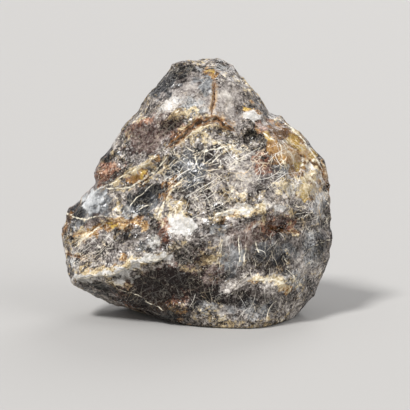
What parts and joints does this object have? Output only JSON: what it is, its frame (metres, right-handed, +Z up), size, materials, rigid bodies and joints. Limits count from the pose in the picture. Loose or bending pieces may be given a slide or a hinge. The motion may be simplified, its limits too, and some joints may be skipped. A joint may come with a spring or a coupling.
{
  "type": "raw copal chunk",
  "caption": "Raw chunk of hardened tree resin: a broad broken lump with a narrower crown leaning back, standing on a small worn flat.",
  "frame": {"origin": "centre of the footprint of the whole lump, on the plane it rests on", "axes": "+Z up from the resting face, +X along the lump's width, -Y out of the broad bulging front"},
  "size_m": [0.1024, 0.0632, 0.0973],
  "materials": {
    "copal": "broken resin, glassy on fresh fractures and chalky on its crust"
  },
  "bodies": {
    "root": {"copal_chunk": "copal"}
  },
  "joints": []
}
